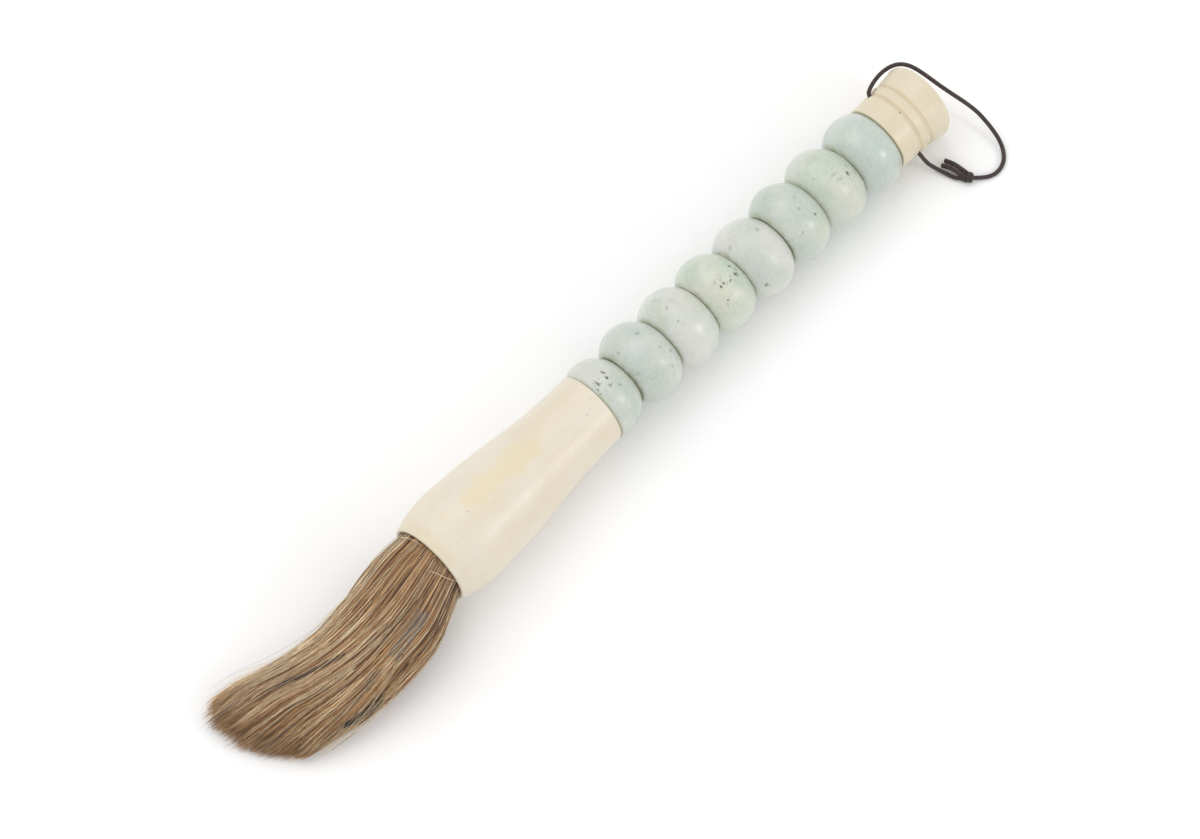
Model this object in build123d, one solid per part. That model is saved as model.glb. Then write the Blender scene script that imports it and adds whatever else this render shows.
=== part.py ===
from build123d import *
import math
import os

# A large Chinese calligraphy brush, lying on a table: a turned bone ferrule that holds the hair,
# eight jade beads on a wooden rod, and a turned bone cap with a cord loop to hang it by.
# Millimetres, +Z up. The brush lies along X with the hair at -X and the cap at +X. The origin is
# at the middle of the brush's footprint, on the table.
#
# The turned pieces are drawn about the X axis with x = 0 at the ferrule's mouth, and lay() puts
# them on the table, where the brush rests on the fullest part of the ferrule and on its last bead.

# --- driving dimensions ---
ferrule_length = 79.4
ferrule_widest_x = 16.3
ferrule_radius = 18.3
ferrule_top_radius = 13.75
mouth_radius = 14.1
mouth_lip_radius = 0.85
cavity_radius = 13.6
cavity_depth = 30.0

bead_radii = [14.55, 15.4, 15.05, 14.7, 15.15, 15.1, 15.1, 14.95]
bead_widths = [14.1, 18.3, 17.95, 17.8, 18.7, 17.45, 18.4, 16.5]
bead_half_length = 12.7      # axial semi-axis of the ellipsoid that every bead is cut from
first_bead_seat = 4.7        # from the first bead's widest plane to the face glued to the ferrule
last_bead_seat = 7.3         # from the last bead's widest plane to the face glued to the cap
bead_edge = 0.4

cap_length = 24.0
cap_base_radius = 12.25
cap_end_radius = 14.05
cap_edge = 3.0
groove_x = 8.3               # first groove, and the hole for the cord, from the cap's base
groove_radius = 12.25
ring_radius = 12.95          # the ring between the grooves
second_groove_x = 12.95
second_groove_radius = 12.6
cord_hole_radius = 1.2
cord_hole_tilt = 25.0        # the left mouth of the hole is the higher one

rod_radius = 3.5
rod_bore_radius = 3.6
rod_start = 28.0
rod_bore_in_cap = 6.5
glue_thickness = 0.15
glue_play = 0.01             # left free on each side of a glue film
bead_glue_radius = 9.6
ferrule_glue_radius = 13.35
cap_glue_radius = 12.0

root_start = 24.0            # the hair's glued end, inside the ferrule
root_radius = 13.2
root_end = -5.0              # the still part of the bundle ends here, outside the mouth
binding_from = 17.5
binding_to = 22.5
binding_inner_radius = 12.5
binding_outer_radius = 13.3

mouth_x = -77.35             # the mouth plane, in the frame on the table
bend_x = mouth_x - 15.0      # upright axis that the hair bends about
bend_y = -1.5
bend_radius = 14.2
bend_gap = 0.3

cord_radius = 0.72
knot_place = (158.4, -28.2)
knot_half = (2.6, 2.1, 1.7)
knot_turn = -62.0
table_gap = 0.02             # the knot lies this far clear of the table

# --- worked out from them ---
bead_faces = [ferrule_length + glue_thickness]
for width in bead_widths[:-1]:
    bead_faces.append(bead_faces[-1] + width + glue_thickness)
cap_x = bead_faces[-1] + bead_widths[-1] + glue_thickness
last_bead_x = cap_x - glue_thickness - last_bead_seat
tilt = math.degrees(math.asin((ferrule_radius - bead_radii[-1]) / (last_bead_x - ferrule_widest_x)))
mouth_height = ferrule_radius + ferrule_widest_x * math.sin(math.radians(tilt))
table_place = Pos(mouth_x, 0, mouth_height) * Rot(0, tilt, 0)
hole_direction = Vector(0, 1, 0).rotate(Axis.X, cord_hole_tilt)


def lay(shape):
    """Put a piece drawn about the brush's own axis onto the table."""
    return table_place * shape


def turned(edges):
    """A solid of revolution about X, from a closed outline with y as its radius."""
    return revolve(make_face(Wire(edges)), Axis.X)


def disc(start, length, outer, inner=0.0):
    """A round plate or tube along X."""
    face = Circle(outer) - Circle(inner) if inner else Circle(outer)
    return extrude(Plane(origin=(start, 0, 0), z_dir=(1, 0, 0)) * face, length)


def make_ferrule():
    """Turned bone ferrule: swelling near the mouth, slim neck, cavity for the hair."""
    lip_x = mouth_lip_radius
    outline = Spline(
        (lip_x, mouth_radius + 2 * mouth_lip_radius),
        (4.8, 17.05),
        (10.0, 17.95),
        (ferrule_widest_x, ferrule_radius),
        (23.0, 17.9),
        (33.6, 17.3),
        (45.0, 16.1),
        (55.0, 14.85),
        (65.0, 14.15),
        (ferrule_length, ferrule_top_radius),
        tangents=[(1, 0.55), (1, -0.03)],
    )
    lip = ThreePointArc(
        (lip_x, mouth_radius + 2 * mouth_lip_radius),
        (0.0, mouth_radius + mouth_lip_radius),
        (lip_x, mouth_radius),
    )
    inside = Polyline(
        (lip_x, mouth_radius),
        (6.0, cavity_radius),
        (cavity_depth, cavity_radius),
        (cavity_depth, rod_bore_radius),
        (ferrule_length, rod_bore_radius),
        (ferrule_length, ferrule_top_radius),
    )
    return turned([*outline.edges(), *lip.edges(), *inside.edges()])


def make_bead(radius, width, start, widest):
    """Oblate jade bead: an ellipsoid with two flat faces and a bore, its faces' rims broken."""
    def angle(x):
        return math.degrees(math.acos(x / bead_half_length))

    def rim(x):
        return radius * math.sin(math.radians(angle(x)))

    left = -widest
    right = width - widest
    round_side = EllipticalCenterArc(
        (0, 0), bead_half_length, radius, start_angle=angle(right), arc_size=angle(left) - angle(right)
    )
    flat = Polyline(
        (left, rim(left)), (left, rod_bore_radius), (right, rod_bore_radius), (right, rim(right))
    )
    bead = turned([*round_side.edges(), *flat.edges()])
    rims = [e for e in bead.edges().filter_by(GeomType.CIRCLE) if e.radius > rod_bore_radius + 1]
    return Pos(start + widest, 0, 0) * fillet(rims, bead_edge)


def make_cap():
    """Turned bone cap: two grooves with a ring between them, and a flared, rounded end."""
    end_start = cap_length - cap_edge
    base_side = Line((0, cap_base_radius), (7.2, 12.6))
    groove = ThreePointArc((7.2, 12.6), (groove_x, groove_radius), (9.4, 12.85))
    ring = Polyline((9.4, 12.85), (9.7, ring_radius), (11.9, ring_radius), (12.2, 12.85))
    second_groove = ThreePointArc((12.2, 12.85), (second_groove_x, second_groove_radius), (13.8, 13.1))
    flare = Spline(
        (13.8, 13.1), (16.5, 13.6), (end_start, cap_end_radius), tangents=[(1, 0.25), (1, 0.03)]
    )
    corner = cap_edge * math.sqrt(0.5)
    edge = ThreePointArc(
        (end_start, cap_end_radius),
        (end_start + corner, cap_end_radius - cap_edge + corner),
        (cap_length, cap_end_radius - cap_edge),
    )
    inside = Polyline(
        (cap_length, cap_end_radius - cap_edge),
        (cap_length, 0),
        (rod_bore_in_cap, 0),
        (rod_bore_in_cap, rod_bore_radius),
        (0, rod_bore_radius),
        (0, cap_base_radius),
    )
    pieces = [base_side, groove, ring, second_groove, flare, edge, inside]
    cap = turned([e for piece in pieces for e in piece.edges()])
    return Pos(cap_x, 0, 0) * (cap - make_cord_hole())


def make_cord_hole():
    """The drilled hole across the cap, opened out where the cord turns over its mouths."""
    sink = 1.6
    rim_x = 12.9
    along = Plane(origin=(groove_x, 0, 0), z_dir=hole_direction)
    hole = extrude(along * Circle(cord_hole_radius), 20, both=True)
    for side in (1, -1):
        mouth = Plane(origin=(groove_x, 0, 0) + hole_direction * side * rim_x, z_dir=hole_direction * side)
        wide = Circle(cord_hole_radius + sink)
        narrow = Pos(0, 0, -sink) * Circle(cord_hole_radius)
        hole += mouth * loft([narrow, wide])
    return hole


def glue_film(face, outer):
    """A thin washer of glue in the gap that ends at the face of the next piece."""
    return disc(face - glue_thickness + glue_play, glue_thickness - 2 * glue_play, outer, rod_bore_radius)


def make_root():
    """The still part of the hair: the bundle glued in the ferrule, hollowed for the bend."""
    bundle = turned(
        Polyline(
            (root_start, 0),
            (root_start, root_radius),
            (binding_to, root_radius),
            (binding_to, binding_inner_radius),
            (binding_from, binding_inner_radius),
            (binding_from, 13.3),
            (6.0, 13.3),
            (0.0, 13.75),
            (root_end, 13.95),
            (root_end, 0),
            close=True,
        ).edges()
    )
    socket = upright_cylinder(bend_radius + bend_gap)
    return lay(bundle) - socket


def upright_cylinder(radius):
    """A tall cylinder about the axis that the hair bends about."""
    return extrude(Pos(bend_x, bend_y, -5) * Circle(radius), 50)


# The loose hair, from the mouth to the tip: distance out of the mouth, sideways, height, half
# width, half thickness and turn of each cross-section. It leaves the ferrule at the height of
# the brush's axis, sinks to the table, sweeps to -Y and then curls back to +Y.
hair_sections = [
    (1.0, -0.3, 18.4, 13.7, 13.6, 0),
    (8.0, -1.5, 17.4, 15.6, 13.6, 0),
    (16.0, -3.2, 15.9, 17.3, 13.3, 0),
    (28.0, -4.8, 13.6, 17.5, 12.2, 0),
    (42.0, -4.6, 10.9, 17.3, 10.5, 3),
    (56.0, -2.2, 8.6, 17.9, 8.4, 8),
    (68.0, 1.7, 6.7, 18.9, 6.5, 13),
    (78.0, 4.2, 4.7, 19.0, 4.4, 17),
    (84.0, 5.2, 3.1, 17.6, 2.7, 18),
]


def hair_loft(first, last, width_share, height_share):
    """A solid through the hair's cross-sections, each shrunk to a share of its size."""
    rings = []
    for out, aside, height, half_width, half_height, turn in hair_sections[first:last]:
        across = Vector(0, 1, 0).rotate(Axis.Z, turn)
        normal = Vector(-1, 0, 0).rotate(Axis.Z, turn)
        place = Plane(origin=(mouth_x - out, aside, height), x_dir=across, z_dir=normal)
        rings.append(place * Ellipse(half_width * width_share, half_height * height_share))
    return loft(rings)


def make_tuft():
    """The loose hair in two layers: a core, and the mantle laid round it."""
    body = hair_loft(0, len(hair_sections), 1.0, 1.0)
    behind = Pos(bend_x, bend_y, 20) * Box(40, 80, 90, align=(Align.MIN, Align.CENTER, Align.CENTER))
    shoulder = behind - upright_cylinder(bend_radius)
    core = hair_loft(1, len(hair_sections) - 1, 0.5, 0.5)
    return body - shoulder - core, core


# The cord's route, point by point. It starts in the knot, comes up to the lower mouth of the
# hole, runs through the cap, turns forward round the cap's end, falls to the table and comes
# back to the knot.
cord_route = [
    (158.1, -27.4, 1.5),
    (156.3, -26.7, 1.3),
    (155.2, -24.6, 1.1),
    (154.5, -21.7, 1.2),
    (153.2, -18.5, 2.2),
    (151.6, -15.5, 4.8),
    (150.87, -12.3, 8.95),
    (150.87, 12.2, 20.37),
    (152.7, 13.8, 20.75),
    (156.0, 14.8, 20.8),
    (159.6, 14.9, 20.7),
    (163.4, 14.4, 20.5),
    (166.8, 12.8, 20.2),
    (169.2, 9.8, 19.6),
    (170.6, 5.2, 18.4),
    (171.9, -0.8, 16.2),
    (173.6, -5.9, 13.4),
    (175.4, -10.4, 10.6),
    (176.9, -15.2, 7.7),
    (177.2, -20.0, 5.1),
    (176.7, -25.4, 2.9),
    (175.2, -29.6, 1.5),
    (172.6, -32.7, 0.8),
    (169.2, -34.2, 0.75),
    (165.6, -34.1, 0.75),
    (162.4, -32.3, 0.95),
    (159.7, -29.9, 1.5),
]
tail_routes = {
    "cord_tail_a": [(159.2, -26.9, 2.4), (158.9, -23.6, 2.5), (158.6, -20.8, 2.0), (157.7, -18.2, 1.4)],
    "cord_tail_b": [(157.5, -27.1, 2.2), (157.1, -23.8, 2.5), (156.7, -20.9, 2.0), (155.6, -18.7, 1.4)],
}


def corner_radii(route):
    """Each corner's arc, as large as its two runs allow."""
    radii = []
    for before, here, after in zip(route, route[1:], route[2:]):
        run_in = Vector(here) - Vector(before)
        run_out = Vector(after) - Vector(here)
        half_turn = math.radians(run_in.get_angle(run_out)) / 2
        radii.append(0.45 * min(run_in.length, run_out.length) / math.tan(half_turn))
    return radii


def make_cord(name, route):
    """A round cord along straight runs joined by tangent arcs."""
    radii = corner_radii(route)
    path = FilletPolyline(*route, radius=radii)
    start = Plane(origin=path @ 0, z_dir=path % 0)
    cord = sweep(start * Circle(cord_radius), path)
    section = math.pi * cord_radius**2
    print(f"{name} is {path.length:.1f} long, volume is {cord.volume / (section * path.length):.4f} of its"
          f" section times that, radii {[round(r, 1) for r in radii]}")
    return cord


def make_knot():
    """The knot, as a plain rounded lump that the cord's ends run into."""
    lump = scale(Sphere(1), by=knot_half)
    return Pos(*knot_place, knot_half[2] + table_gap) * Rot(0, 0, knot_turn) * lump


def make_parts():
    parts = {
        "ferrule": lay(make_ferrule()),
        "handle_rod": lay(disc(rod_start, cap_x + rod_bore_in_cap - 0.3 - rod_start, rod_radius)),
        "root_plug": lay(disc(root_start, cavity_depth - root_start, cavity_radius)
                         - disc(rod_start, 10, rod_radius)),
        "root_binding": lay(disc(binding_from, binding_to - binding_from, binding_outer_radius,
                                 binding_inner_radius)),
        "hair_root": make_root(),
        "ferrule_glue_line": lay(glue_film(bead_faces[0], ferrule_glue_radius)),
        "cap_glue_line": lay(glue_film(cap_x, cap_glue_radius)),
        "cap": lay(make_cap()),
    }
    for number, (radius, width, face) in enumerate(zip(bead_radii, bead_widths, bead_faces), 1):
        widest = width / 2
        if number == 1:
            widest = first_bead_seat
        if number == len(bead_radii):
            widest = width - last_bead_seat
        parts[f"jade_bead_{number}"] = lay(make_bead(radius, width, face, widest))
    for number, face in enumerate(bead_faces[1:], 1):
        parts[f"bead_glue_{number}"] = lay(glue_film(face, bead_glue_radius))
    parts["hair_mantle"], parts["hair_core"] = make_tuft()
    knot = make_knot()
    parts["cord_knot"] = knot
    parts["hang_cord"] = make_cord("hang_cord", cord_route) - knot
    for name, route in tail_routes.items():
        parts[name] = make_cord(name, route) - knot
    return parts


os.makedirs("parts", exist_ok=True)
parts = make_parts()
for name, part in parts.items():
    export_step(part, f"parts/{name}.step")

cord_nodes = ["hang_cord", "cord_knot", *tail_routes]
brush = Compound(children=[part for name, part in parts.items() if name not in cord_nodes])
box = brush.bounding_box()
hole_centre = (table_place * Pos(cap_x + groove_x, 0, 0)).position
print("brush without its cord, from", tuple(box.min), "to", tuple(box.max))
print("cord hole at", tuple(hole_centre), "along", tuple(hole_direction))
print("ferrule mouth at", tuple((table_place * Pos(0, 0, 0)).position), "tilted", round(tilt, 3))
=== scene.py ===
import math

import bpy
import numpy as np
from mathutils import Matrix, Vector


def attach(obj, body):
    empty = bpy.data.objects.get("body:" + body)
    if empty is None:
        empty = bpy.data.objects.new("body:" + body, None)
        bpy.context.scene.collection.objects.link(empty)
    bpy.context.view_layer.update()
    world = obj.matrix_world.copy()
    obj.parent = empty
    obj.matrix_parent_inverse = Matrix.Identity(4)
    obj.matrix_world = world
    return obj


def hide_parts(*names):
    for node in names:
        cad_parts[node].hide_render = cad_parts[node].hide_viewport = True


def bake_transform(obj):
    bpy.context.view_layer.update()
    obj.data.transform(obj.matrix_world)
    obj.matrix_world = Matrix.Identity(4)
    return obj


# A large Chinese calligraphy brush on a table: a bone ferrule full of hair, eight jade beads and a
# bone cap with a cord loop. Sizes are in millimetres, as in the CAD source, and MM turns them into
# Blender's metres. The turned pieces are drawn about the brush's own axis, with x = 0 at the
# ferrule's mouth, and lay() puts them on the table.

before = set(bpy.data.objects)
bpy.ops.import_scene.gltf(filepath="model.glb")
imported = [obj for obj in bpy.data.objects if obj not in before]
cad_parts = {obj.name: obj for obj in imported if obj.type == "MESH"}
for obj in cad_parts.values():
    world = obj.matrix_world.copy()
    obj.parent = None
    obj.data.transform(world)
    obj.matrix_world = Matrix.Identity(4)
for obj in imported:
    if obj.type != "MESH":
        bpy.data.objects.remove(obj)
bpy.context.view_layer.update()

MM = 0.001

# --- the brush's driving dimensions ---
mouth_x = -77.35
axis_tilt = 0.978                # degrees that the axis sinks towards the cap
mouth_height = 18.578
ferrule_length = 79.4
ferrule_top_radius = 13.75
mouth_radius = 14.1
lip_radius = 0.85
cavity_radius = 13.6
cavity_depth = 30.0
bore_radius = 3.6

bead_radii = [14.4, 15.15, 14.85, 14.55, 14.95, 14.9, 14.95, 14.75]
bead_widths = [14.1, 18.3, 17.95, 17.8, 18.7, 17.45, 18.4, 16.5]
bead_half_length = 12.3          # along the axis, of the ellipsoid that each bead is cut from
first_bead_seat = 4.7            # from its face on the ferrule to its widest ring
last_bead_seat = 7.3             # from its widest ring to its face on the cap
bead_edge = 0.4                  # how far a bead's rims are broken
glue_thickness = 0.15

cap_length = 23.7
cap_base_radius = 12.85
cap_end_radius = 14.3
cap_edge = 3.8
cap_lean = 2.2                   # degrees that the cap points to the right of the axis
bead_skew = 1.9                  # degrees that the beads are turned on the rod
groove_x = 8.3
second_groove_x = 12.95
hole_radius = 1.2
hole_tilt = 25.0
cap_bore_depth = 6.5

cord_diameter = 1.44
braid_relief = 0.16              # as a share of the cord's radius

# --- worked out from them ---
bead_faces = [ferrule_length + glue_thickness]
for width in bead_widths[:-1]:
    bead_faces.append(bead_faces[-1] + width + glue_thickness)
cap_x = bead_faces[-1] + bead_widths[-1] + glue_thickness
# How far to the left of the axis the ferrule, each bead and the cap sit, by distance from the mouth.
off_axis = [
    (0, 0.1), (50, 0.2), (ferrule_length, 0.6), (86.6, 0.85), (102.9, 0.68), (121.2, 0.3),
    (139.2, 0.3), (157.6, -0.3), (175.8, 0.1), (193.9, 0.03), (cap_x, 0.0), (cap_x + cap_length, -0.35),
]
brush_place = Matrix.Translation((mouth_x, 0, mouth_height)) @ Matrix.Rotation(
    math.radians(axis_tilt), 4, "Y"
)

# --- camera: high on the hair's side, far off, with a long lens ---
camera_azimuth = -46.19
camera_elevation = 67.17
camera_distance = 2.5
camera_target = Vector((0.00597, 0.00078, 0.0))
camera_lens = 220.6


def add_camera():
    azimuth = math.radians(camera_azimuth)
    elevation = math.radians(camera_elevation)
    back = Vector((
        math.sin(azimuth) * math.cos(elevation),
        -math.cos(azimuth) * math.cos(elevation),
        math.sin(elevation),
    ))
    data = bpy.data.cameras.new("camera")
    data.lens = camera_lens
    data.sensor_width = 36.0
    data.sensor_fit = "HORIZONTAL"
    data.clip_end = 20.0
    camera = bpy.data.objects.new("camera", data)
    camera.location = camera_target + camera_distance * back
    camera.rotation_euler = (math.pi / 2 - elevation, 0, azimuth)
    bpy.context.scene.collection.objects.link(camera)
    bpy.context.scene.camera = camera


# --- materials ---
def rgb(red, green, blue):
    """A colour given as 0 to 255 values for a screen, as Blender's linear colour."""
    def linear(value):
        share = value / 255
        return share / 12.92 if share <= 0.04045 else ((share + 0.055) / 1.055) ** 2.4

    return (linear(red), linear(green), linear(blue), 1)


class Painter:
    """One node material, with a short call for each kind of node that the brush needs."""

    def __init__(self, name, **shader_values):
        self.material = bpy.data.materials.new(name)
        self.material.use_nodes = True
        self.nodes = self.material.node_tree.nodes
        self.links = self.material.node_tree.links
        self.shader = self.nodes["Principled BSDF"]
        for socket, value in shader_values.items():
            self.shader.inputs[socket.replace("_", " ")].default_value = value

    def add(self, kind, inputs, output=0, **settings):
        node = self.nodes.new(kind)
        for name, value in settings.items():
            setattr(node, name, value)
        for name, value in inputs.items():
            self.feed(node.inputs[name], value)
        return node.outputs[output]

    def feed(self, socket, value):
        if isinstance(value, bpy.types.NodeSocket):
            self.links.new(value, socket)
        else:
            socket.default_value = value

    def object_place(self):
        return self.add("ShaderNodeTexCoord", {}, "Object")

    def axis_place(self):
        """The place on the piece along and around the brush's own axis, in metres."""
        location, rotation, _ = brush_place.decompose()
        place = {"Vector": self.object_place(), "Location": location * MM, "Rotation": rotation.to_euler()}
        return self.add("ShaderNodeMapping", place, vector_type="TEXTURE")

    def stretched(self, place, scale, offset=(0, 0, 0)):
        return self.add("ShaderNodeMapping", {"Vector": place, "Scale": scale, "Location": offset})

    def noise(self, place, scale, detail=3, roughness=0.5, distortion=0):
        inputs = {"Vector": place, "Scale": scale, "Detail": detail, "Roughness": roughness}
        return self.add("ShaderNodeTexNoise", {**inputs, "Distortion": distortion}, "Fac")

    def cells(self, place, scale):
        return self.add("ShaderNodeTexVoronoi", {"Vector": place, "Scale": scale}, "Distance")

    def ease(self, value, low, high, to_low=0, to_high=1):
        inputs = {"Value": value, "From Min": low, "From Max": high, "To Min": to_low, "To Max": to_high}
        return self.add("ShaderNodeMapRange", inputs, interpolation_type="SMOOTHSTEP")

    def math(self, operation, first, second=0):
        return self.add("ShaderNodeMath", {0: first, 1: second}, operation=operation)

    def mix(self, factor, first, second):
        return self.add("ShaderNodeMix", {0: factor, 6: first, 7: second}, 2, data_type="RGBA")

    def over(self, colour, tint, texture, low, high, most=1):
        """The colour with a tint over it that grows as the texture goes from low to high."""
        return self.mix(self.ease(texture, low, high, 0, most), colour, tint)

    def spot(self, place, centre, half_sizes, warp, strength):
        """A share that is full inside a soft, warped ellipsoid about a point in the axis's frame."""
        scale = [1 / (size * MM) for size in half_sizes]
        offset = [-c * MM * s for c, s in zip(centre, scale)]
        scaled = self.stretched(place, scale, offset)
        distance = self.add("ShaderNodeVectorMath", {0: scaled}, "Value", operation="LENGTH")
        return self.math("MULTIPLY", self.ease(self.math("ADD", distance, warp), 1.25, 0.45), strength)

    def bump(self, height, distance, strength=1, under=None):
        inputs = {"Height": height, "Distance": distance, "Strength": strength}
        if under is not None:
            inputs["Normal"] = under
        return self.add("ShaderNodeBump", inputs, "Normal")

    def finish(self, colour=None, roughness=None, normal=None):
        for socket, value in (("Base Color", colour), ("Roughness", roughness), ("Normal", normal)):
            if value is not None:
                self.feed(self.shader.inputs[socket], value)
        return self.material


def bone_material(name, cream, warm, patches):
    """Polished bone: cream with warmer clouds, faint fibres along the axis and small pores."""
    paint = Painter(name, Coat_Weight=0.2, Coat_Roughness=0.3, Subsurface_Weight=0.12,
                    Subsurface_Scale=0.003, Subsurface_Radius=(1, 0.75, 0.45))
    place = paint.axis_place()
    clouds = paint.noise(paint.stretched(place, (0.55, 1, 1)), 60, 4, 0.55, 0.4)
    colour = paint.over(cream, warm, clouds, 0.38, 0.72, 0.7)
    blush = paint.noise(paint.stretched(place, (0.5, 1, 1), (3, 1, 2)), 90, 3, 0.5, 0.4)
    colour = paint.over(colour, rgb(226, 210, 196), blush, 0.5, 0.75, 0.35)
    fibres = paint.noise(paint.stretched(place, (70, 900, 900)), 1, 3, 0.6)
    colour = paint.over(colour, rgb(200, 184, 152), fibres, 0.52, 0.8, 0.22)
    ragged = paint.ease(paint.noise(place, 130, 4), 0.3, 0.7, -0.35, 0.35)
    for centre, half_sizes, strength, tint in patches:
        colour = paint.mix(paint.spot(place, centre, half_sizes, ragged, strength), colour, tint)
    pores = paint.ease(paint.cells(paint.stretched(place, (160, 620, 620)), 1), 0.13, 0.05)
    pore = paint.math("MULTIPLY", pores, paint.ease(paint.noise(place, 90, 2), 0.55, 0.66))
    colour = paint.mix(paint.math("MULTIPLY", pore, 0.5), colour, rgb(150, 122, 84))
    roughness = paint.ease(paint.noise(place, 240, 4), 0.3, 0.7, 0.34, 0.48)
    skin = paint.bump(paint.noise(place, 900, 4, 0.6), 0.00003, 0.6)
    return paint.finish(colour, roughness, paint.bump(pore, -0.00006, 0.8, skin))


def stone_colour(paint, place, shifted, look, on_side, blurred):
    """A bead's cloudy pale and green parts, its tints, smudges, grain and faint veins."""
    clouds = paint.noise(shifted, 80, 4, 0.5, 0.5)
    colour = paint.over(look["pale"], look["green"], clouds, 0.36, 0.66)
    warm = paint.noise(shifted, 48, 3, 0.5, 0.4)
    colour = paint.over(colour, rgb(208, 200, 184), warm, 0.5, 0.68, look["warm"])
    for x, turn, along, around, strength, tint in look["tints"]:
        share = paint.spot(place, on_side(x, turn), (along, around, around), blurred, strength)
        colour = paint.mix(share, colour, tint)
    smudges = paint.noise(shifted, 300, 5, 0.65)
    colour = paint.over(colour, rgb(162, 173, 162), smudges, 0.54, 0.78, 0.5)
    grain = paint.noise(shifted, 1100, 3, 0.6)
    colour = paint.over(colour, rgb(214, 217, 208), grain, 0.35, 0.65, 0.22)
    folds = paint.math("SUBTRACT", paint.noise(shifted, 120, 4, 0.55, 0.8), 0.5)
    return paint.over(colour, rgb(216, 220, 212), paint.math("ABSOLUTE", folds), 0.02, 0, 0.16)


def crease_shade_share(paint, place, shifted, start, end):
    """Where a bead's painted crease shade lies: an olive darkening in a narrow uneven band next to each of
    its faces.
    """
    along = paint.add("ShaderNodeSeparateXYZ", {"Vector": place}, "X")
    low_rim = paint.ease(along, (start + 1.3) * MM, (start + 0.2) * MM)
    high_rim = paint.ease(along, (end - 1.3) * MM, (end - 0.2) * MM)
    uneven = paint.ease(paint.noise(shifted, 330, 4), 0.35, 0.62, 0.15, 0.75)
    return paint.math("MULTIPLY", paint.math("MAXIMUM", low_rim, high_rim), uneven)


def speck_share(paint, place, shifted, look, on_side, blurred):
    """Where a bead's dark specks lie: fine ones all over and in clusters, and single ragged marks."""
    uneven = paint.ease(paint.noise(shifted, 1300, 3), 0.3, 0.7, -0.2, 0.3)
    dot = paint.ease(paint.math("ADD", paint.cells(shifted, 900), uneven), 0.36, 0.2)
    where = paint.ease(paint.noise(shifted, 150, 3), 0.64, 0.74, 0, 0.35)
    for x, turn, size, strength in look["clusters"]:
        spot = paint.spot(place, on_side(x, turn), (size, size, size), blurred, strength)
        where = paint.math("MAXIMUM", where, spot)
    speck = paint.math("MULTIPLY", dot, where)
    ragged = paint.ease(paint.noise(place, 1500, 3), 0.3, 0.7, -0.5, 0.5)
    for x, turn, along, around, strength in look["marks"]:
        mark = paint.spot(place, on_side(x, turn), (along, around, around), ragged, strength)
        speck = paint.math("MAXIMUM", speck, mark)
    return speck


def jade_material(number, look, start, end, on_side):
    """One bead's celadon stone. on_side() turns a spot's distance from the bead's first face and its
    turn into a place on the bead's side."""
    paint = Painter(f"jade_{number}", Coat_Weight=0.6, Coat_Roughness=0.3, Subsurface_Weight=0.2,
                    Subsurface_Scale=0.004, Subsurface_Radius=(0.9, 1, 0.85))
    place = paint.axis_place()
    shifted = paint.stretched(place, (1, 1, 1), (0.37 * number, 0.11 * number, -0.23 * number))
    blurred = paint.ease(paint.noise(shifted, 170, 4, 0.6), 0.3, 0.7, -0.5, 0.5)
    colour = stone_colour(paint, place, shifted, look, on_side, blurred)
    # Painted shade: an olive darkening of each bead next to its faces, in the creases between the beads.
    colour = paint.mix(crease_shade_share(paint, place, shifted, start, end), colour, rgb(164, 168, 140))
    speck = speck_share(paint, place, shifted, look, on_side, blurred)
    colour = paint.mix(speck, colour, rgb(82, 84, 68))
    roughness = paint.ease(paint.noise(shifted, 300, 4), 0.3, 0.7, 0.3, 0.44)
    skin = paint.bump(paint.noise(shifted, 420, 4, 0.55), 0.00004, 0.5)
    return paint.finish(colour, roughness, paint.bump(speck, -0.00005, 0.6, skin))


def wood_material():
    paint = Painter("rod_wood", Roughness=0.6)
    place = paint.axis_place()
    grain = paint.noise(paint.stretched(place, (60, 900, 900)), 1, 4, 0.6, 0.4)
    colour = paint.over(rgb(196, 160, 108), rgb(146, 104, 62), grain, 0.35, 0.7)
    return paint.finish(colour, None, paint.bump(grain, 0.0001, 0.5))


def glue_material(name, dark, light):
    paint = Painter(name, Roughness=0.4)
    lumps = paint.noise(paint.axis_place(), 700, 3)
    return paint.finish(paint.mix(lumps, dark, light), None, paint.bump(lumps, 0.0001, 0.5))


def thread_material():
    paint = Painter("binding_thread", Roughness=0.8)
    wave = {"Vector": paint.axis_place(), "Scale": 320, "Distortion": 0.4}
    turns = paint.add("ShaderNodeTexWave", wave, "Fac")
    colour = paint.mix(turns, rgb(120, 96, 66), rgb(206, 184, 144))
    return paint.finish(colour, None, paint.bump(turns, 0.0002, 0.8))


def cord_material():
    paint = Painter("cord_black_brown", Sheen_Weight=0.15, Sheen_Roughness=0.5)
    place = paint.object_place()
    fibre = paint.noise(place, 2600, 4, 0.65)
    colour = paint.over(rgb(34, 24, 24), rgb(76, 58, 56), fibre, 0.35, 0.75)
    colour = paint.over(colour, rgb(150, 138, 132), paint.noise(place, 900, 3), 0.68, 0.74, 0.7)
    roughness = paint.ease(fibre, 0.3, 0.7, 0.5, 0.75)
    return paint.finish(colour, roughness, paint.bump(fibre, 0.00006, 0.7))


def undermass_material():
    """The hair below the strands that are modelled: dark streaks that run with them."""
    paint = Painter("hair_undermass", Roughness=0.6)
    flow = paint.add("ShaderNodeAttribute", {}, "Vector", attribute_name="flow")
    streaks = paint.noise(paint.stretched(flow, (3, 120, 6)), 1, 4, 0.65, 0.3)
    broad = paint.noise(paint.stretched(flow, (2, 22, 3)), 1, 3)
    colour = paint.over(rgb(52, 36, 24), rgb(128, 96, 64), streaks, 0.3, 0.72)
    colour = paint.over(colour, rgb(78, 56, 38), broad, 0.4, 0.7, 0.5)
    return paint.finish(colour, None, paint.bump(streaks, 0.0004, 0.8))


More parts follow.
